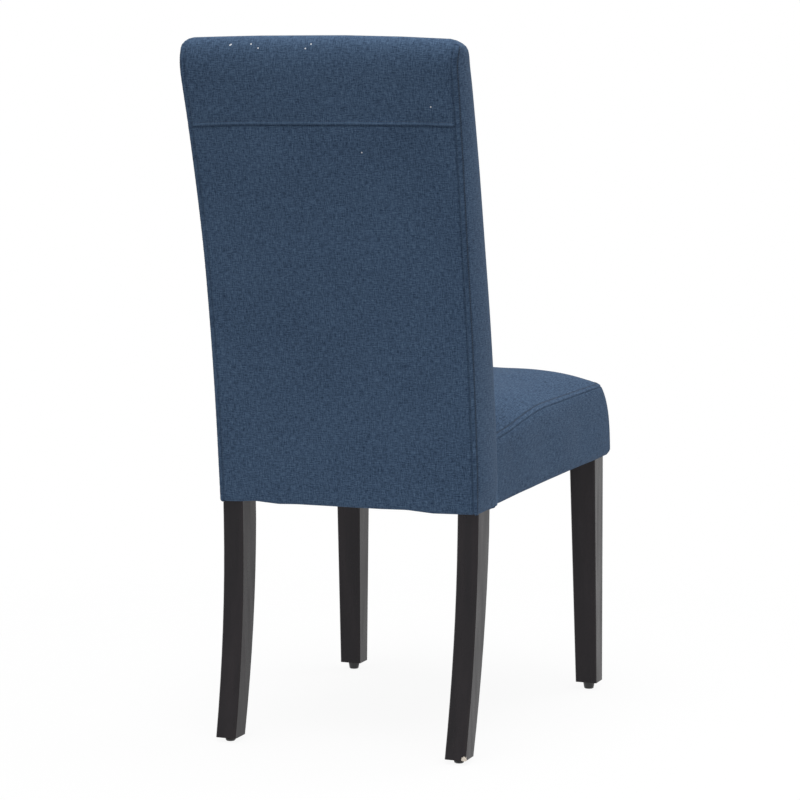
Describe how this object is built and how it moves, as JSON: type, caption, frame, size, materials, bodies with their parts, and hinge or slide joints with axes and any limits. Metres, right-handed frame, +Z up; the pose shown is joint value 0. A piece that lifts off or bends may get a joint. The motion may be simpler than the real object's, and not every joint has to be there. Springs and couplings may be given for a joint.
{
  "type": "parsons chair",
  "caption": "Upholstered dining chair with a tall curved back, boxed crowned seat, black tapered front legs, swept rear legs and levelling feet.",
  "frame": {"origin": "on the floor, under the middle of the chair's box", "axes": "+Z up, the chair faces -Y, +X is the sitter's left"},
  "size_m": [0.4558, 0.6284, 0.9999],
  "materials": {
    "lacquered_wood": "black satin lacquer on solid hardwood",
    "raw_wood": "sawn hardwood, unfinished",
    "plywood": "sanded plywood",
    "cloth": "matt navy linen-look weave, double topstitched",
    "foam": "open cell foam",
    "webbing": "woven elastic webbing",
    "felt": "thin black non-woven cloth",
    "zinc": "zinc plated",
    "plastic": "moulded, satin black"
  },
  "bodies": {
    "chair": {"rear_post_left": "lacquered_wood", "front_leg_left": "lacquered_wood", "seat_rail_left": "raw_wood", "corner_block_front_left": "raw_wood", "corner_block_rear_left": "raw_wood", "leg_bolt_lower_left": "zinc", "leg_washer_lower_left": "zinc", "back_bolt_lower_left": "zinc", "back_washer_lower_left": "zinc", "back_tee_nut_lower_left": "zinc", "leg_bolt_upper_left": "zinc", "leg_washer_upper_left": "zinc", "back_bolt_upper_left": "zinc", "back_washer_upper_left": "zinc", "back_tee_nut_upper_left": "zinc", "foot_insert_front_left": "zinc", "foot_insert_rear_left": "zinc", "rear_post_right": "lacquered_wood", "front_leg_right": "lacquered_wood", "seat_rail_right": "raw_wood", "corner_block_front_right": "raw_wood", "corner_block_rear_right": "raw_wood", "leg_bolt_lower_right": "zinc", "leg_washer_lower_right": "zinc", "back_bolt_lower_right": "zinc", "back_washer_lower_right": "zinc", "back_tee_nut_lower_right": "zinc", "leg_bolt_upper_right": "zinc", "leg_washer_upper_right": "zinc", "back_bolt_upper_right": "zinc", "back_washer_upper_right": "zinc", "back_tee_nut_upper_right": "zinc", "foot_insert_front_right": "zinc", "foot_insert_rear_right": "zinc", "back_top_rail": "raw_wood", "back_middle_rail": "raw_wood", "back_lower_rail": "raw_wood", "back_mounting_rail": "raw_wood", "seat_rail_front": "raw_wood", "seat_rail_rear": "raw_wood", "seat_board": "plywood", "back_web_1": "webbing", "back_web_2": "webbing", "back_web_3": "webbing", "back_web_4": "webbing", "back_foam": "foam", "seat_foam": "foam", "back_cover": "cloth", "seat_cover": "cloth", "dust_cover": "felt"},
    "foot_front_left": {"foot_pad_front_left": "plastic", "foot_stud_front_left": "zinc"},
    "foot_front_right": {"foot_pad_front_right": "plastic", "foot_stud_front_right": "zinc"},
    "foot_rear_left": {"foot_pad_rear_left": "plastic", "foot_stud_rear_left": "zinc"},
    "foot_rear_right": {"foot_pad_rear_right": "plastic", "foot_stud_rear_right": "zinc"}
  },
  "joints": [
    {"name": "foot_front_left_screw", "type": "slide", "parent": "chair", "child": "foot_front_left", "axis": [0, 0, -1], "range_m": [0, 0.008]},
    {"name": "foot_front_right_screw", "type": "slide", "parent": "chair", "child": "foot_front_right", "axis": [0, 0, -1], "range_m": [0, 0.008]},
    {"name": "foot_rear_left_screw", "type": "slide", "parent": "chair", "child": "foot_rear_left", "axis": [0, 0, -1], "range_m": [-0.0023, 0.006]},
    {"name": "foot_rear_right_screw", "type": "slide", "parent": "chair", "child": "foot_rear_right", "axis": [0, 0, -1], "range_m": [-0.0023, 0.006]}
  ]
}
